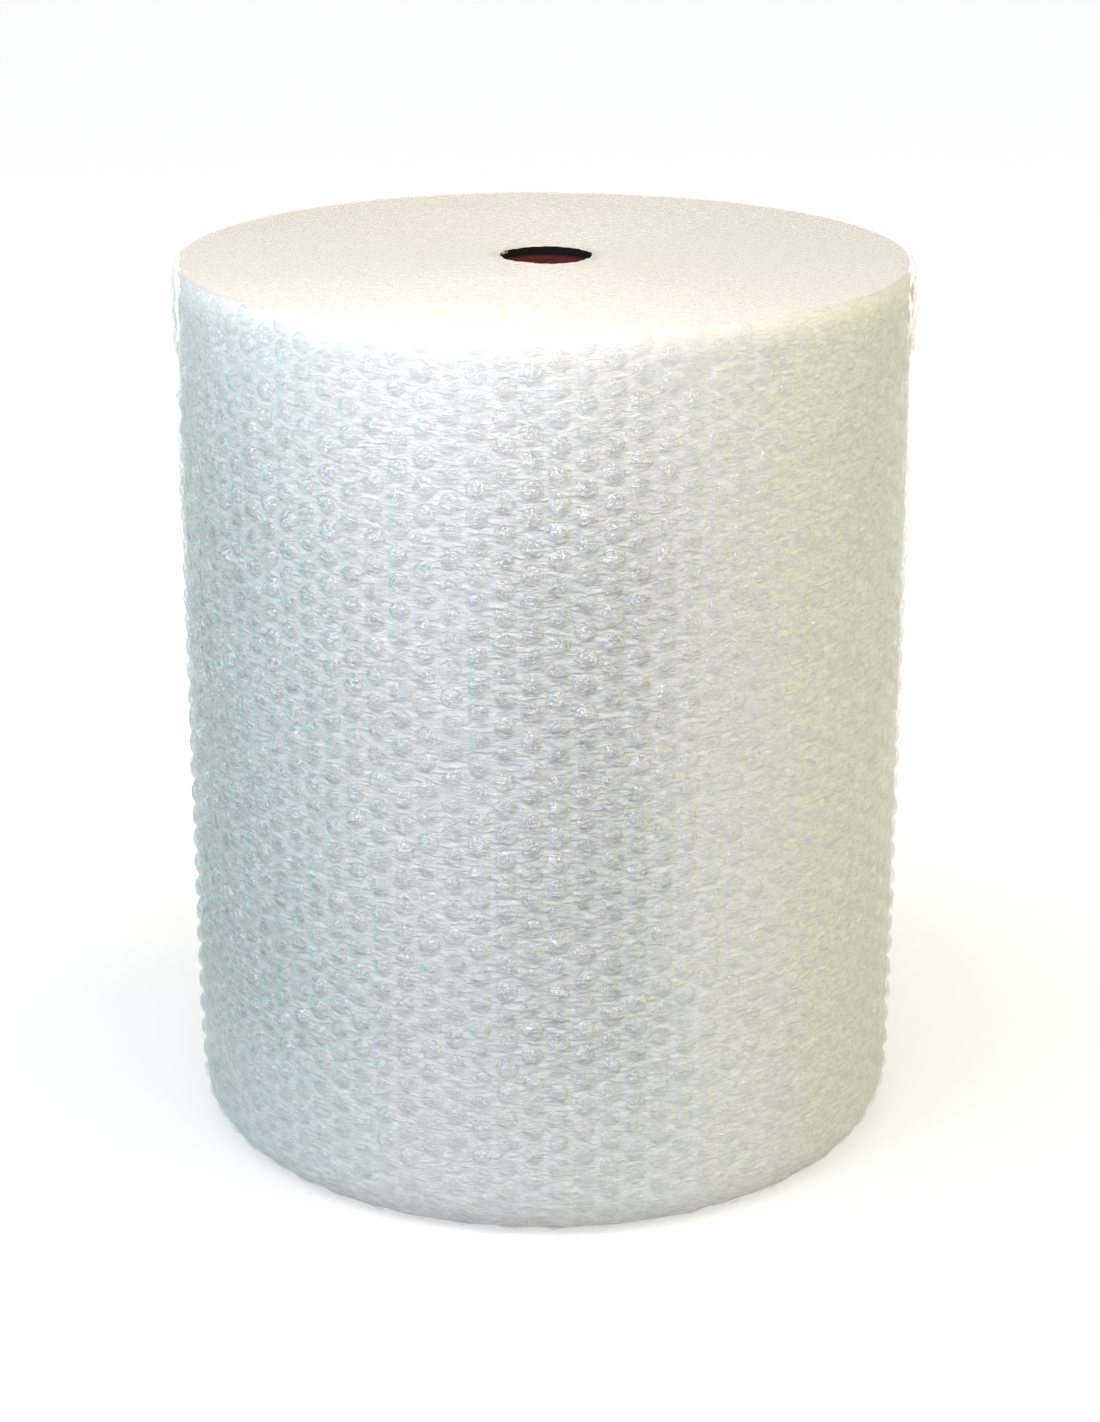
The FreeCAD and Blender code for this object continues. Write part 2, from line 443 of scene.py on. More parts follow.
def make_body():
    """The skin round the roll, the caps of both ends, the lip at the mouth and the wall round the core."""
    angle, along, drop, slack = body_columns()
    turns, climbs = np.meshgrid(angle, along, indexing="ij")
    skin, _ = on_film(turns, climbs, slack - SKIN_DEPTH - drop[:, None])

    def ring(reach, height):
        return np.stack([reach * np.sin(angle), reach * np.cos(angle), height + 0 * angle], -1)[:, None]

    lower_reach = root_radius(angle) - LOWER_EDGE[0] - CAP_START - drop
    upper_reach = root_radius(angle) - UPPER_EDGE[0] - CAP_START - drop
    lap = CAP_LAP * (drop > 0)
    floor_cap, top_cap = CAP_DEPTH + lap, WEB_WIDTH - CAP_DEPTH - lap
    rounded_off = 0.3 * CAP_DEPTH
    hub = CORE_RADIUS + 0 * angle
    ragged = np.sin(5 * angle + 1) + np.sin(11 * angle) + np.sin(23 * angle + 2)
    lip = hub - LIP_REACH + LIP_WAVE * ragged
    columns = np.concatenate([
        ring(hub, floor_cap), ring(lower_reach, floor_cap), ring(lower_reach + CAP_ROUNDING, rounded_off),
        skin,
        ring(upper_reach, WEB_WIDTH - rounded_off), ring(upper_reach - CAP_ROUNDING, top_cap),
        ring(lip, top_cap), ring(hub, CORE_TOP + LIP_GAP),
    ], axis=1)
    around, up = columns.shape[:2]
    first = np.arange(around - 1) * up
    bore = np.stack([first + up - 1, first + 2 * up - 1, first + up, first], 1)[:, ::-1]
    faces = np.concatenate([grid_faces(around, up), bore])
    body = link_piece("wound_film", columns.reshape(-1, 3), faces, milky_film)

    for material in (packed_film, core_shade_film):
        body.data.materials.append(material)
    row = np.tile(np.arange(up - 1), around - 1)
    slots = np.where((row < 2) | (row >= up - 4 - RIM_ROWS), PACKED, 0)
    # Painted shade on the lip's underside and on the wall round the tube
    slots[row == up - 2] = PAINTED_SHADE
    slots = np.concatenate([slots, np.full(len(bore), PAINTED_SHADE)]).astype(np.int32)
    body.data.polygons.foreach_set("material_index", slots)
    rounded = np.concatenate([(row > 0) & (row < up - 3), np.zeros(len(bore), bool)])
    body.data.polygons.foreach_set("use_smooth", rounded)

    clear = np.zeros((around, up))
    clear[:, len(ROWS_UNDER):-len(ROWS_OVER)] = clarity(turns, climbs)
    body.data.attributes.new("clear", "FLOAT", "POINT").data.foreach_set("value", clear.ravel())

    film_map = body.data.uv_layers.new(name="film")
    u = angle / FULL_TURN * COLUMNS
    v = np.concatenate([ROWS_UNDER, along / ROW_STEP, OUTLINE_LENGTH / ROW_STEP + np.array(ROWS_OVER)])
    corner = np.zeros(len(body.data.loops), np.int32)
    body.data.loops.foreach_get("vertex_index", corner)
    film_map.data.foreach_set("uv", np.stack([u[corner // up], v[corner % up]], 1).ravel())
    return body


body = make_body()
print("body faces:", len(body.data.polygons))

# %% [markdown]
# ## The clear bubbles
#
# Polyethylene film is smooth as blown, so it is glossy. Its see-through part is an alpha, and an alpha dims
# the gloss as well. So the specular level is doubled, because a film reflects at both of its faces, and the
# IOR is raised from the real 1.5 to 2.3, which brings the glints back to what the eye sees. A bubble is
# thick and whitish at its seal, and thin and clear at its crown. Where the film is clear the crowns are
# painted greyer, as shade from deep in the roll seen through them. Facets and ripples break up the glints.

# %% Material: clear bubble film
def make_clear_film():
    """Blown and vacuum-formed polyethylene. The eye sees clear domes with crisp glints and pale seal rings."""
    material, tree, output = new_material("clear polyethylene bubbles")
    rise, tone, clear = (
        add(tree, "ShaderNodeAttribute", attribute_name=name).outputs["Fac"]
        for name in ("rise", "tone", "clear")
    )
    place = add(tree, "ShaderNodeTexCoord").outputs["Object"]
    crown = add(
        tree, "ShaderNodeMapRange", {"Value": rise, "From Min": 0.3},
        interpolation_type="SMOOTHSTEP",
    )
    haze = add(tree, "ShaderNodeMapRange", {"Value": crown, "To Min": 0.27, "To Max": 0.42})
    alpha = add(
        tree, "ShaderNodeMath", {0: tone, 1: 0.12, 2: haze}, operation="MULTIPLY_ADD", use_clamp=True
    )
    sight = add(tree, "ShaderNodeMapRange", {"Value": clear, "To Min": 0.5, "To Max": 1.05})
    alpha = add(tree, "ShaderNodeMath", {0: alpha, 1: sight}, operation="MULTIPLY")
    # Painted shade: where the film is clear the crowns go greyer, broken into dashes
    shade = add(tree, "ShaderNodeMath", {0: crown, 1: clear}, operation="MULTIPLY")
    drawn = add(
        tree, "ShaderNodeVectorMath", {0: place, 1: (0.7, 0.7, 1.7)}, operation="MULTIPLY"
    )
    dash = add(
        tree, "ShaderNodeTexNoise", {"Vector": drawn, "Scale": 1 / (9 * MM), "Detail": 4.0, "Roughness": 0.65}
    )
    dashed = add(
        tree, "ShaderNodeMapRange",
        {"Value": dash, "From Min": 0.4, "From Max": 0.6, "To Max": 1.5},
    )
    shade = add(tree, "ShaderNodeMath", {0: shade, 1: dashed}, operation="MULTIPLY", use_clamp=True)
    colour = add(
        tree, "ShaderNodeMix", {"Factor": shade, "A": linear("#d2d6d4"), "B": linear("#87918f")},
        data_type="RGBA",
    )
    pulled = add(
        tree, "ShaderNodeVectorMath", {0: place, 1: (0.6, 0.6, 1.6)}, operation="MULTIPLY"
    )
    ripple = add(
        tree, "ShaderNodeTexNoise",
        {"Vector": pulled, "Scale": 1 / (3.4 * MM), "Detail": 2.0, "Roughness": 0.55},
    )
    facets = add(
        tree, "ShaderNodeTexVoronoi", {"Vector": place, "Scale": 1 / (5.5 * MM)},
        feature="DISTANCE_TO_EDGE",
    )
    height = add(
        tree, "ShaderNodeMath", {0: ripple, 1: 0.9, 2: facets},
        operation="MULTIPLY_ADD",
    )
    bump = add(tree, "ShaderNodeBump", {"Strength": 0.9, "Distance": 2.2 * MM, "Height": height})
    shader = add(
        tree, "ShaderNodeBsdfPrincipled",
        {
            "Base Color": colour.outputs["Result"], "Roughness": 0.07, "IOR": 2.3, "Specular IOR Level": 1.0,
            "Alpha": alpha, "Normal": bump,
        },
    )
    tree.links.new(shader.outputs[0], output.inputs[0])
    return material


clear_film = make_clear_film()
print(clear_film.name)

# %% [markdown]
# One bubble is a short dome: nearly upright at its seal, then rounded, with a slightly flat crown. It is
# repeated some three thousand times, so it has only a few dozen faces. Each point remembers how high it
# sits, from 0 at the seal to 1 at the crown, which is what the material reads.

# %% One bubble
BUBBLE_RINGS = ((1.0, 0.0), (0.91, 0.24), (0.76, 0.54), (0.55, 0.8), (0.3, 0.945))  # radius and height of each
BUBBLE_SIDES = 12


def make_bubble():
    """A dome of unit height and radius, to be sized where it is placed."""
    corners = [FULL_TURN * k / BUBBLE_SIDES for k in range(BUBBLE_SIDES)]
    vertices = [(r * math.cos(a), r * math.sin(a), height) for r, height in BUBBLE_RINGS for a in corners]
    vertices.append((0, 0, 1))
    last = (len(BUBBLE_RINGS) - 1) * BUBBLE_SIDES
    pairs = [(k, (k + 1) % BUBBLE_SIDES) for k in range(BUBBLE_SIDES)]
    faces = [
        (low + k, low + after, low + BUBBLE_SIDES + after, low + BUBBLE_SIDES + k)
        for low in range(0, last, BUBBLE_SIDES) for k, after in pairs
    ]
    faces += [(last + k, last + after, len(vertices) - 1) for k, after in pairs]
    bubble = link_piece("bubble_shape", vertices, faces, clear_film)
    rise = bubble.data.attributes.new("rise", "FLOAT", "POINT")
    rise.data.foreach_set("value", [v[2] for v in vertices])
    return bubble


bubble_shape = make_bubble()
bubble_faces = len(bubble_shape.data.polygons)
print("faces of one bubble:", bubble_faces)

# %% [markdown]
# What repeats is made by Geometry Nodes. One function starts a tree with named inputs, and one runs it on a
# source object and keeps the result as a plain mesh.

# %% Helpers for geometry trees
def start_tree(name, floats, others):
    """A geometry tree with named inputs, its group input and its group output."""
    tree = bpy.data.node_groups.new(name, "GeometryNodeTree")
    tree.interface.new_socket("Geometry", in_out="INPUT", socket_type="NodeSocketGeometry")
    for label, kind in [*((label, "NodeSocketFloat") for label in floats), *others]:
        tree.interface.new_socket(label, in_out="INPUT", socket_type=kind)
    tree.interface.new_socket("Geometry", in_out="OUTPUT", socket_type="NodeSocketGeometry")
    return tree, tree.nodes.new("NodeGroupInput"), tree.nodes.new("NodeGroupOutput")


def run_tree(name, source, tree, values):
    """Runs a tree on a source object and keeps the result as a plain mesh."""
    modifier = source.modifiers.new(tree.name, "NODES")
    modifier.node_group = tree
    identifiers = {s.name: s.identifier for s in tree.interface.items_tree if s.in_out == "INPUT"}
    for label, value in values.items():
        modifier[identifiers[label]] = value
    source.update_tag()
    graph = bpy.context.evaluated_depsgraph_get()
    mesh = bpy.data.meshes.new_from_object(
        source.evaluated_get(graph), preserve_all_data_layers=True, depsgraph=graph
    )
    source.modifiers.remove(modifier)
    bpy.data.objects.remove(source)
    mesh.name = name
    piece = bpy.data.objects.new(name, mesh)
    bpy.context.scene.collection.objects.link(piece)
    return piece


print("ready for geometry trees")

# %% [markdown]
# A bubble is set on each point of the lattice, turned to face outwards and then tilted, swelled or sagged a
# little at random, because each is pressed by its neighbours. After the bubbles are realised, a noise pushes
# their skins in and out, so that no two catch the light alike, and no skin passes the floor or the roll's
# top. The seed is fixed, so the roll comes out the same each time.

# %% The tree that sets the bubbles
DENT_SIZE = 9 * MM  # of the dents that a bubble's neighbours press into it
LEAST_SWELL, MOST_SWELL = (0.95, 0.95, 0.86), (1.03, 1.03, 1.0)  # of a bubble's width, width and height
TONE_SEED = 5


def make_bubble_tree():
    floats = ("Radius", "Height", "Tilt", "Dent", "Highest", "Lowest")
    others = (("Bubble", "NodeSocketObject"), ("Seed", "NodeSocketInt"), ("Film", "NodeSocketMaterial"))
    tree, given, result = start_tree("set bubbles on film", floats, others)
    given = given.outputs
    facing = add(tree, "GeometryNodeInputNamedAttribute", {"Name": "facing"}, data_type="FLOAT_VECTOR")
    firm = add(tree, "GeometryNodeInputNamedAttribute", {"Name": "firm"}, data_type="FLOAT")
    outwards = add(tree, "FunctionNodeAlignRotationToVector", {"Vector": facing}, axis="Z")
    points = add(tree, "GeometryNodeMeshToPoints", {"Mesh": given["Geometry"]})
    shape = add(tree, "GeometryNodeObjectInfo", {"Object": given["Bubble"]})
    placed = add(
        tree, "GeometryNodeInstanceOnPoints",
        {"Points": points, "Instance": shape.outputs["Geometry"], "Rotation": outwards},
    )
    least_tilt = add(tree, "ShaderNodeMath", {0: given["Tilt"], 1: -1.0}, operation="MULTIPLY")
    low = add(tree, "ShaderNodeCombineXYZ", {0: least_tilt, 1: least_tilt, 2: -math.pi})
    high = add(tree, "ShaderNodeCombineXYZ", {0: given["Tilt"], 1: given["Tilt"], 2: math.pi})
    tilt = add(
        tree, "FunctionNodeRandomValue", {"Min": low, "Max": high, "Seed": given["Seed"]},
        data_type="FLOAT_VECTOR",
    )
    tilted = add(tree, "GeometryNodeRotateInstances", {"Instances": placed, "Rotation": tilt.outputs["Value"]})
    size = add(
        tree, "FunctionNodeRandomValue", {"Min": LEAST_SWELL, "Max": MOST_SWELL, "Seed": given["Seed"]},
        data_type="FLOAT_VECTOR",
    )
    tall = add(tree, "ShaderNodeMath", {0: given["Height"], 1: firm}, operation="MULTIPLY")
    full = add(tree, "ShaderNodeCombineXYZ", {0: given["Radius"], 1: given["Radius"], 2: tall})
    scale = add(tree, "ShaderNodeVectorMath", {0: size.outputs["Value"], 1: full}, operation="MULTIPLY")
    sized = add(tree, "GeometryNodeScaleInstances", {"Instances": tilted, "Scale": scale})
    tone = {"Min": -1.0, "Max": 1.0, "Seed": TONE_SEED}
    tone = add(tree, "FunctionNodeRandomValue", tone, data_type="FLOAT")
    toned = add(
        tree, "GeometryNodeStoreNamedAttribute",
        {"Geometry": sized, "Name": "tone", "Value": tone.outputs[1]}, data_type="FLOAT", domain="INSTANCE",
    )
    real = add(tree, "GeometryNodeRealizeInstances", {"Geometry": toned})
    noise = add(tree, "ShaderNodeTexNoise", {"Scale": 1 / DENT_SIZE, "Detail": 2.0})
    rise = add(tree, "GeometryNodeInputNamedAttribute", {"Name": "rise"}, data_type="FLOAT")
    depth = add(tree, "ShaderNodeMath", {0: rise, 1: given["Dent"]}, operation="MULTIPLY")
    push = add(tree, "ShaderNodeVectorMath", {0: centred(tree, noise), "Scale": depth}, operation="SCALE")
    dented = add(tree, "GeometryNodeSetPosition", {"Geometry": real, "Offset": push})
    at = add(tree, "ShaderNodeSeparateXYZ", {0: add(tree, "GeometryNodeInputPosition")}).outputs
    below_top = add(tree, "ShaderNodeMath", {0: at["Z"], 1: given["Highest"]}, operation="MINIMUM")
    level = add(tree, "ShaderNodeMath", {0: below_top, 1: given["Lowest"]}, operation="MAXIMUM")
    kept = add(tree, "ShaderNodeCombineXYZ", {0: at["X"], 1: at["Y"], 2: level})
    inside = add(tree, "GeometryNodeSetPosition", {"Geometry": dented, "Position": kept})
    smooth = add(tree, "GeometryNodeSetShadeSmooth", {"Geometry": inside})
    finished = add(tree, "GeometryNodeSetMaterial", {"Geometry": smooth, "Material": given["Film"]})
    tree.links.new(finished.outputs[0], result.inputs[0])
    return tree


bubble_tree = make_bubble_tree()
print(bubble_tree.name, len(bubble_tree.nodes), "nodes")

# %% [markdown]
# The lattice is a cloud of points on the film, one to a bubble, each with the way it faces. Slow waves and a
# little chance shift it, as no machine lays film dead straight. A few bubbles have lost air, and those near
# the floor are crushed by the roll's weight. The first column is left out, because the tail's edge lies on
# it.

# %% The lattice of bubbles
LEAST_CLIMB = 16 * MM  # bubbles lower than this on the outline are flat under the roll
SEAL_DEPTH = 0.4 * MM  # of a bubble's foot below the base film
DRIFT = 0.9 * MM  # how far the slow waves shift the rows
STRAY = 0.35 * MM  # how far chance shifts a bubble
SAGGED_SHARE = 0.03  # of the bubbles
SAGGED_FIRMNESS, FIRMNESS = (0.35, 0.6), (0.84, 1.0)
CRUSHED_FIRMNESS = 0.3  # at the floor
CRUSH_REACH = 0.16  # metres up in which it would grow by 1
TILT = math.radians(7)
DENT = 3.4 * MM
CROWN_GAP = 0.1 * MM  # from a crown to the full height of a bubble
END_GAP = 0.2 * MM  # from the bubbles to the floor and to the roll's top


def lattice(columns):
    """A cloud of points, one to a bubble, on the given columns, with the way each faces and how firm it is."""
    rng = np.random.default_rng(columns[0] + 3)
    angles, climbs = [], []
    for column in columns:
        climb = OUTLINE_LENGTH - TOP_MARGIN - ROW_STEP / 2 * (column % 2)
        while climb > LEAST_CLIMB:
            angles.append((column + 0.5) / COLUMNS * FULL_TURN)
            climbs.append(climb)
            climb -= ROW_STEP
    angles, climbs = np.array(angles), np.array(climbs)
    count = len(angles)
    wave = np.sin(5 * angles + climbs / 0.11) + np.sin(9 * angles - climbs / 0.07 + 1.0)
    climbs_moved = climbs + DRIFT * wave * 0.5 + rng.normal(0, STRAY, count)
    angles_moved = angles + rng.normal(0, STRAY, count) / TAIL_ROOT
    place, facing = on_film(angles_moved, climbs_moved, -SEAL_DEPTH)
    sagged = rng.random(count) < SAGGED_SHARE
    firm = np.where(sagged, rng.uniform(*SAGGED_FIRMNESS, count), rng.uniform(*FIRMNESS, count))
    firm *= np.clip(CRUSHED_FIRMNESS + climbs / CRUSH_REACH, 0, 1)
    cloud = link_piece("lattice", place, [], clear_film)
    cloud.data.attributes.new("facing", "FLOAT_VECTOR", "POINT").data.foreach_set("vector", facing.ravel())
    for name, values in {"firm": firm, "clear": clarity(angles, climbs)}.items():
        cloud.data.attributes.new(name, "FLOAT", "POINT").data.foreach_set("value", values)
    return cloud


halves = {"bubbles_right": range(1, COLUMNS // 2), "bubbles_left": range(COLUMNS // 2, COLUMNS)}
bubbles = []
for name, columns in halves.items():
    piece = run_tree(name, lattice(columns), bubble_tree, {
        "Bubble": bubble_shape, "Radius": BUBBLE_RADIUS, "Height": BUBBLE_HEIGHT - CROWN_GAP, "Tilt": TILT,
        "Dent": DENT, "Highest": WEB_WIDTH - END_GAP, "Lowest": END_GAP, "Seed": 7, "Film": clear_film,
    })
    bubbles.append(piece)
    print(name, "faces:", len(piece.data.polygons), "bubbles:", len(piece.data.polygons) // bubble_faces)
bpy.data.objects.remove(bubble_shape)

# %% [markdown]
# ## The cut ends of the turns
#
# Both ends of the roll show the film edge-on: one thin straight line for the base film and one wavy line for
# the bubble film, turn after turn. The path is one long spiral, and a ribbon follows it. The tree resamples
# the path by real length, stands the ribbon up, pushes it out by one bulge for each column of bubbles, and
# lets it flutter at random as slit film does. Round the core it leans over the tube's rim and flutters more.

# %% The tree that stands a ribbon on a path
SLIP_LENGTH = 0.25  # of film, over which the wrapping tension changes
SLIP_COLUMNS = 6.0  # how many bubbles it shifts by, so that no two turns lie in step
FLUTTER_SIZE = 7 * MM  # from one flutter to the next
FOOT_HOLD = 0.15  # the share of its swing that a ribbon loses at its foot
MOUTH_TURNS = 4  # how many turns from the core the last leaning film lies
MOUTH_FLUTTER = 2.0  # by how many times a ribbon at the core flutters more


def make_ribbon_tree():
    floats = ("Step", "Depth", "Bulge", "Spacing", "Flutter", "Lean")
    tree, given, result = start_tree("ribbon on path", floats, [("Film", "NodeSocketMaterial")])
    given = given.outputs

    def math_node(operation, *values, clamp=False):
        return add(tree, "ShaderNodeMath", dict(enumerate(values)), operation=operation, use_clamp=clamp)

    curve = add(tree, "GeometryNodeMeshToCurve", {"Mesh": given["Geometry"]})
    even = add(tree, "GeometryNodeResampleCurve", {"Curve": curve, "Length": given["Step"]}, mode="LENGTH")
    path = add(tree, "GeometryNodeSplineParameter")
    kept = add(
        tree, "GeometryNodeStoreNamedAttribute",
        {"Geometry": even, "Name": "along", "Value": path.outputs["Length"]},
        data_type="FLOAT", domain="POINT",
    )
    upright = add(tree, "GeometryNodeSetCurveNormal", {"Curve": kept}, mode="Z_UP")
    drop = add(tree, "ShaderNodeCombineXYZ", {1: math_node("MULTIPLY", given["Depth"], -1.0)})
    profile = add(tree, "GeometryNodeCurvePrimitiveLine", {"Start": (0, 0, 0), "End": drop})
    profile = add(tree, "GeometryNodeResampleCurve", {"Curve": profile, "Count": 3}, mode="COUNT")
    down = add(tree, "GeometryNodeSplineParameter")
    profile = add(
        tree, "GeometryNodeStoreNamedAttribute",
        {"Geometry": profile, "Name": "down", "Value": down.outputs["Factor"]},
        data_type="FLOAT", domain="POINT",
    )
    ribbon = add(tree, "GeometryNodeCurveToMesh", {"Curve": upright, "Profile Curve": profile})
    along = add(tree, "GeometryNodeInputNamedAttribute", {"Name": "along"}, data_type="FLOAT")
    down = add(tree, "GeometryNodeInputNamedAttribute", {"Name": "down"}, data_type="FLOAT")
    loose = math_node("SUBTRACT", 1.0, math_node("MULTIPLY", down, FOOT_HOLD))

    line = add(tree, "ShaderNodeCombineXYZ", {0: along})
    stretch = add(tree, "ShaderNodeTexNoise", {"Vector": line, "Scale": 1 / SLIP_LENGTH, "Detail": 1.0})
    pace = math_node("DIVIDE", along, given["Spacing"])
    shifted = math_node("MULTIPLY_ADD", stretch, SLIP_COLUMNS, pace)
    wave = math_node("COSINE", math_node("MULTIPLY", shifted, FULL_TURN))
    bulge = math_node("MULTIPLY", math_node("MULTIPLY_ADD", wave, -0.5, 0.5), given["Bulge"])

    noise = add(tree, "ShaderNodeTexNoise", {"Scale": 1 / FLUTTER_SIZE, "Detail": 2.0})
    parts = add(tree, "ShaderNodeSeparateXYZ", {0: centred(tree, noise)})
    place = add(tree, "GeometryNodeInputPosition")
    level = add(tree, "ShaderNodeVectorMath", {0: place, 1: (1, 1, 0)}, operation="MULTIPLY")
    reach = add(tree, "ShaderNodeVectorMath", {0: level}, operation="LENGTH").outputs["Value"]
    near_core = add(
        tree, "ShaderNodeMapRange",
        {
            "Value": reach, "From Min": CORE_RADIUS + TURN, "From Max": CORE_RADIUS + MOUTH_TURNS * TURN,
            "To Min": 1.0, "To Max": 0.0,
        },
    )
    lean = math_node("MULTIPLY", near_core, given["Lean"])
    ragged = math_node("MULTIPLY", given["Flutter"], math_node("MULTIPLY_ADD", near_core, MOUTH_FLUTTER, 1.0))
    swung = math_node("MULTIPLY_ADD", parts.outputs[0], ragged, bulge)
    sideways = math_node("MULTIPLY", math_node("SUBTRACT", swung, lean), loose)
    outwards = add(tree, "ShaderNodeVectorMath", {0: level}, operation="NORMALIZE")
    push = add(tree, "ShaderNodeVectorMath", {0: outwards, "Scale": sideways}, operation="SCALE")
    shallow = math_node("MULTIPLY", math_node("MULTIPLY", lean, down), 0.5)
    raised = math_node("MULTIPLY_ADD", parts.outputs[2], given["Flutter"], shallow)
    lift = add(tree, "ShaderNodeCombineXYZ", {2: raised})
    offset = add(tree, "ShaderNodeVectorMath", {0: push, 1: lift}, operation="ADD")
    moved = add(tree, "GeometryNodeSetPosition", {"Geometry": ribbon, "Offset": offset})
    smooth = add(tree, "GeometryNodeSetShadeSmooth", {"Geometry": moved})
    real = add(tree, "GeometryNodeRealizeInstances", {"Geometry": smooth})
    finished = add(tree, "GeometryNodeSetMaterial", {"Geometry": real, "Material": given["Film"]})
    tree.links.new(finished.outputs[0], result.inputs[0])
    return tree


ribbon_tree = make_ribbon_tree()
print(ribbon_tree.name, len(ribbon_tree.nodes), "nodes")

# %% [markdown]
# At the top the turns reach out to the edge of the roll. At the floor they stop where the rounding of the
# lower edge begins. Each end gets a bubbled ribbon and a flat one, and the flat one needs fewer steps.

# %% The spiral paths and their ribbons
RIBBON_DEPTH = 5.5 * MM
FLUTTER = 1.5 * MM
BULGE = 3.0 * MM  # of the bubble film between its seals
MOUTH_LEAN = 6 * MM  # how far the innermost film leans over the rim of the core tube
PATH_STEPS = 72  # of the spiral, in a turn


def spiral_path(outer_depth, height):
    """The line of one film from the core out to a given depth inside the outer turn."""
    last = TAIL_ROOT - outer_depth
    turns = (last - CORE_RADIUS) / TURN
    back = np.arange(0, turns * FULL_TURN, FULL_TURN / PATH_STEPS)
    reach = last - TURN * back / FULL_TURN
    points = np.stack([-reach * np.sin(back), reach * np.cos(back), height + 0 * reach], -1)
    path = link_piece("path", points, [], edge_film)
    first = np.arange(len(points) - 1)
    path.data.edges.add(len(first))
    path.data.edges.foreach_set("vertices", np.stack([first, first + 1], 1).ravel())
    return path


# The outermost line's depth, its height, the ribbon's depth and its lean, for each end
ends = {
    "turn_ends_top": (0.6 * TURN, WEB_WIDTH - FLUTTER / 3, -RIBBON_DEPTH, MOUTH_LEAN),
    "turn_ends_floor": (LOWER_EDGE[0], FLUTTER / 3, RIBBON_DEPTH, 0.0),
}
films = {"bubbled": (COLUMN_STEP / 12, BULGE), "flat": (COLUMN_STEP / 4, 0.0)}  # step and bulge of each
turn_ends = []
for name, (outer_depth, height, depth, lean) in ends.items():
    for part, (step, bulge) in films.items():
        piece = run_tree(f"{name}_{part}", spiral_path(outer_depth, height), ribbon_tree, {
            "Step": step, "Depth": depth, "Bulge": bulge, "Spacing": COLUMN_STEP, "Flutter": FLUTTER,
            "Lean": lean, "Film": edge_film,
        })
        turn_ends.append(piece)
        print(piece.name, "faces:", len(piece.data.polygons))

# %% [markdown]
# ## The core tube
#
# The tube is spiral-wound from strips of brown paperboard. Its shape is right as packed, so it stays and
# gets a board material: matt brown with a faint grain of fibres and one dark helical seam, worked out from
# the angle round the tube and the height.

# %% Material: spiral-wound paperboard
SEAM_PITCH = 95 * MM  # how far the seam climbs in a turn
SEAM_WIDTH = 0.02  # as a share of that


def make_board():
    """Kraft paperboard wound on a slant and glued. The eye sees matt brown with fibres and a slanting seam."""
    material, tree, output = new_material("spiral-wound kraft paperboard")
    place = add(tree, "ShaderNodeTexCoord").outputs["Object"]
    parts = add(tree, "ShaderNodeSeparateXYZ", {0: place})
    angle = add(tree, "ShaderNodeMath", {0: parts.outputs[1], 1: parts.outputs[0]}, operation="ARCTAN2")
    turns = add(tree, "ShaderNodeMath", {0: angle, 1: 1 / FULL_TURN}, operation="MULTIPLY")
    climb = {0: parts.outputs[2], 1: 1 / SEAM_PITCH, 2: turns}
    climb = add(tree, "ShaderNodeMath", climb, operation="MULTIPLY_ADD")
    slant = add(tree, "ShaderNodeMath", {0: climb}, operation="FRACT")
    seam = add(
        tree, "ShaderNodeMapRange",
        {"Value": slant, "From Max": SEAM_WIDTH, "To Min": 1.0, "To Max": 0.0},
        interpolation_type="SMOOTHSTEP",
    )
    fibres = add(
        tree, "ShaderNodeTexNoise",
        {"Vector": place, "Scale": 1 / (2 * MM), "Detail": 4.0, "Roughness": 0.6},
    )
    fibre = add(
        tree, "ShaderNodeMix",
        {"Factor": fibres, "A": linear("#45120d"), "B": linear("#74241a")}, data_type="RGBA",
    )
    colour = add(
        tree, "ShaderNodeMix", {"Factor": seam, "A": fibre.outputs["Result"], "B": linear("#190604")},
        data_type="RGBA",
    )
    bump = add(tree, "ShaderNodeBump", {"Strength": 0.3, "Distance": 0.3 * MM, "Height": fibres})
    shader = add(
        tree, "ShaderNodeBsdfPrincipled",
        {"Base Color": colour.outputs["Result"], "Roughness": 0.85, "Normal": bump},
    )
    tree.links.new(shader.outputs[0], output.inputs[0])
    return material


board = make_board()
core_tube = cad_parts["core_tube"]
core_tube.data.materials.clear()
core_tube.data.materials.append(board)
print("core tube top at", round(CORE_TOP, 4))

# %% [markdown]
# ## Who rides on what
#
# The roll has no moving parts, so each piece rides on its one body. The pieces of film stand for the CAD
# film, which stays in the physics model.

# %% Ride and replace
film_pieces = [body, *bubbles, *turn_ends]
for piece in film_pieces:
    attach(piece, "root")
    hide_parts("bubble_film")
print("pieces:", [piece.name for piece in film_pieces])

# %% [markdown]
# ## Floor, light and camera
#
# The photograph has a plain white ground. The floor is a pale sheet that takes the roll's shadow. To the
# camera it also glows, less under the roll than away from it, so that it comes out white where nothing
# shades it, while the light that it throws back on the roll stays plain. The sky does the same: soft and
# grey as a light, white where it is looked at.

# %% Floor and sky
FLOOR_GAP = 0.3 * MM  # below the roll, so that the two don't coincide
FLOOR_REACH = 30.0  # metres from the middle to each side
GLOW_NEAR, GLOW_FAR = 0.5, 0.87  # of the floor's white
GLOW_START, GLOW_END = 0.3, 1.1  # metres from the middle, between which the glow grows
SKY_LIGHT = 0.215


def seen_directly(tree):
    """1 for a ray that shows the ground or the sky: straight, in a gloss, or through something clear."""
    rays = add(tree, "ShaderNodeLightPath").outputs
    seen = rays["Is Camera Ray"]
    for ray in (rays["Is Glossy Ray"], rays["Is Transmission Ray"]):
        seen = add(tree, "ShaderNodeMath", {0: seen, 1: ray}, operation="MAXIMUM")
    return seen


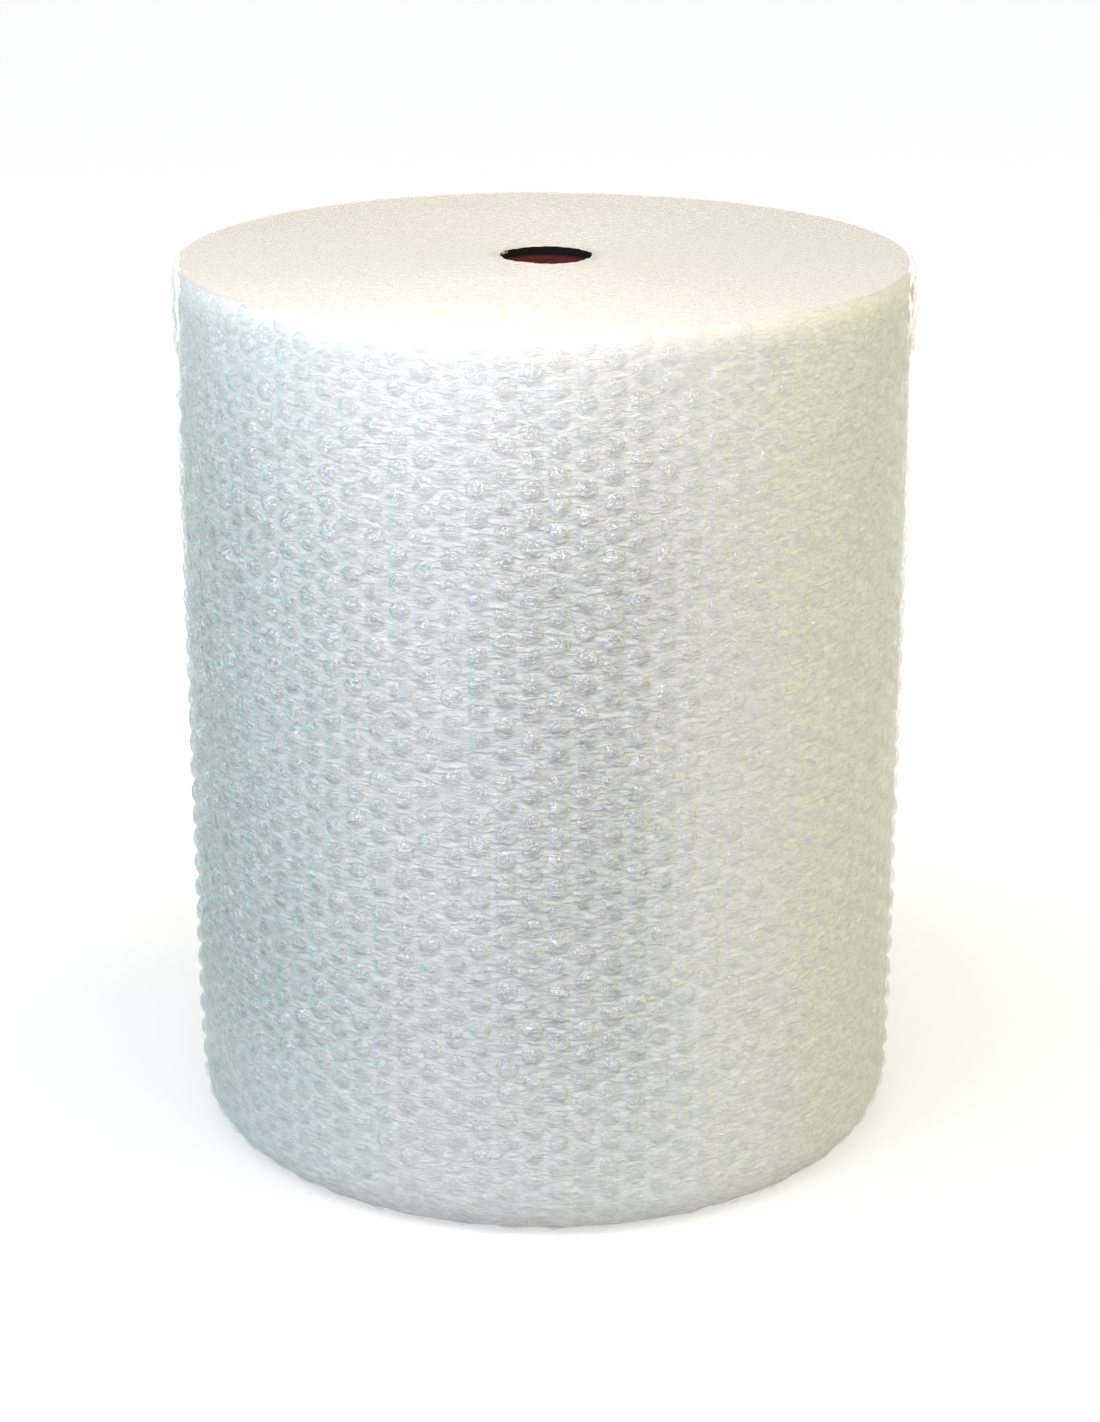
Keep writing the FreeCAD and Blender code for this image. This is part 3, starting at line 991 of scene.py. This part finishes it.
def make_floor():
    material, tree, output = new_material("pale floor")
    paint = add(tree, "ShaderNodeBsdfDiffuse", {"Color": linear("#cfcdc8")})
    place = add(tree, "ShaderNodeTexCoord").outputs["Object"]
    away = add(tree, "ShaderNodeVectorMath", {0: place}, operation="LENGTH").outputs["Value"]
    strength = add(
        tree, "ShaderNodeMapRange",
        {"Value": away, "From Min": GLOW_START, "From Max": GLOW_END, "To Min": GLOW_NEAR, "To Max": GLOW_FAR},
        interpolation_type="SMOOTHSTEP",
    )
    glow = add(tree, "ShaderNodeEmission", {"Color": linear("#ffffff"), "Strength": strength})
    seen = add(tree, "ShaderNodeMixShader", {0: seen_directly(tree), 2: glow})
    both = add(tree, "ShaderNodeAddShader", {0: paint, 1: seen})
    tree.links.new(both.outputs[0], output.inputs[0])
    sides = ((-1, -1), (1, -1), (1, 1), (-1, 1))
    corners = [(x * FLOOR_REACH, y * FLOOR_REACH, -FLOOR_GAP) for x, y in sides]
    return link_piece("floor", corners, [(0, 1, 2, 3)], material, smooth=False)


def make_sky():
    world = bpy.data.worlds.new("soft studio")
    bpy.context.scene.world = world
    world.use_nodes = True
    tree = world.node_tree
    tree.nodes.clear()
    soft = add(tree, "ShaderNodeBackground", {"Color": linear("#e6ebf5"), "Strength": SKY_LIGHT})
    white = add(tree, "ShaderNodeBackground", {"Color": linear("#ffffff"), "Strength": 1.0})
    mixed = add(tree, "ShaderNodeMixShader", {0: seen_directly(tree), 1: soft, 2: white})
    output = tree.nodes.new("ShaderNodeOutputWorld")
    tree.links.new(mixed.outputs[0], output.inputs[0])


floor = make_floor()
make_sky()
print("floor and sky are in place")

# %% [markdown]
# The tints are those of the photograph: lavender from the upper left, cool cyan at the lower left and warm
# light from the right. A low lamp behind the roll mirrors in its cut end. The camera doesn't see the lamps.

# %% Lamps
# The name, the azimuth from the camera's side to the right and the elevation in degrees, the distance, width
# and height in metres, the power in watts, the colour, and the share of the roll's height that it looks at
LAMPS = [
    ("key", -26, 36, 1.9, (2.2, 0.16), 9.8, "#e6dfff", 0.6),
    ("strip", -38, 6, 2.2, (0.35, 1.2), 11, "#e2d8ff", 0.75),
    ("wash", -14, 36, 0.95, (1.0, 0.25), 4.2, "#fffbf6", 0.6),
    ("over", 180, 70, 1.7, (1.4, 1.2), 10.2, "#fffaf0", 1.0),
    ("fill", 78, 16, 3.0, (4.0, 3.0), 67, "#ffedb6", 0.6),
    ("low side", -82, 2, 2.4, (1.2, 1.2), 17, "#86ecec", 0.45),
    ("low front", 6, 10, 0.8, (1.3, 0.16), 1.4, "#eaf8f6", 0.02),
    ("behind", 180, 0, 3.0, (2.4, 0.6), 34, "#fbf6ec", 0.45),
]


def soft_box(name, azimuth, elevation, distance, size, power, colour, aim):
    """A rectangular lamp."""
    lamp = bpy.data.lights.new(name, "AREA")
    lamp.shape = "RECTANGLE"
    lamp.size, lamp.size_y = size
    lamp.energy = power
    lamp.color = linear(colour)[:3]
    holder = bpy.data.objects.new(name, lamp)
    bpy.context.scene.collection.objects.link(holder)
    holder.visible_camera = False
    a, e = math.radians(azimuth), math.radians(elevation)
    way = Vector((math.sin(a) * math.cos(e), -math.cos(a) * math.cos(e), math.sin(e)))
    holder.location = Vector((0, 0, WEB_WIDTH * aim)) + way * distance
    holder.rotation_mode = "QUATERNION"
    holder.rotation_quaternion = way.to_track_quat("Z", "Y")
    return holder


print("lamps:", [soft_box(*lamp).name for lamp in LAMPS])

# %% [markdown]
# The camera stands where the photograph was taken from: two and a half metres away, half a metre above the
# roll's top, and tipped down. Those numbers come from a fit to the outline of the roll.

# %% Camera
CAMERA_PLACE = (0.0033, -2.506, 1.2277)
CAMERA_TIP = math.radians(90 - 19.278)
PHOTO_HEIGHT = 1422
FOCAL_PIXELS = 3063.0
SENSOR_MM = 36.0


def make_camera():
    lens = bpy.data.cameras.new("photo camera")
    lens.sensor_width = SENSOR_MM
    lens.lens = FOCAL_PIXELS / PHOTO_HEIGHT * lens.sensor_width
    camera = bpy.data.objects.new("photo camera", lens)
    bpy.context.scene.collection.objects.link(camera)
    camera.location = CAMERA_PLACE
    camera.rotation_euler = (CAMERA_TIP, 0, 0)
    bpy.context.scene.camera = camera
    return camera


camera = make_camera()
bpy.context.scene.view_settings.view_transform = "Standard"
print("lens", round(camera.data.lens, 2), "mm")
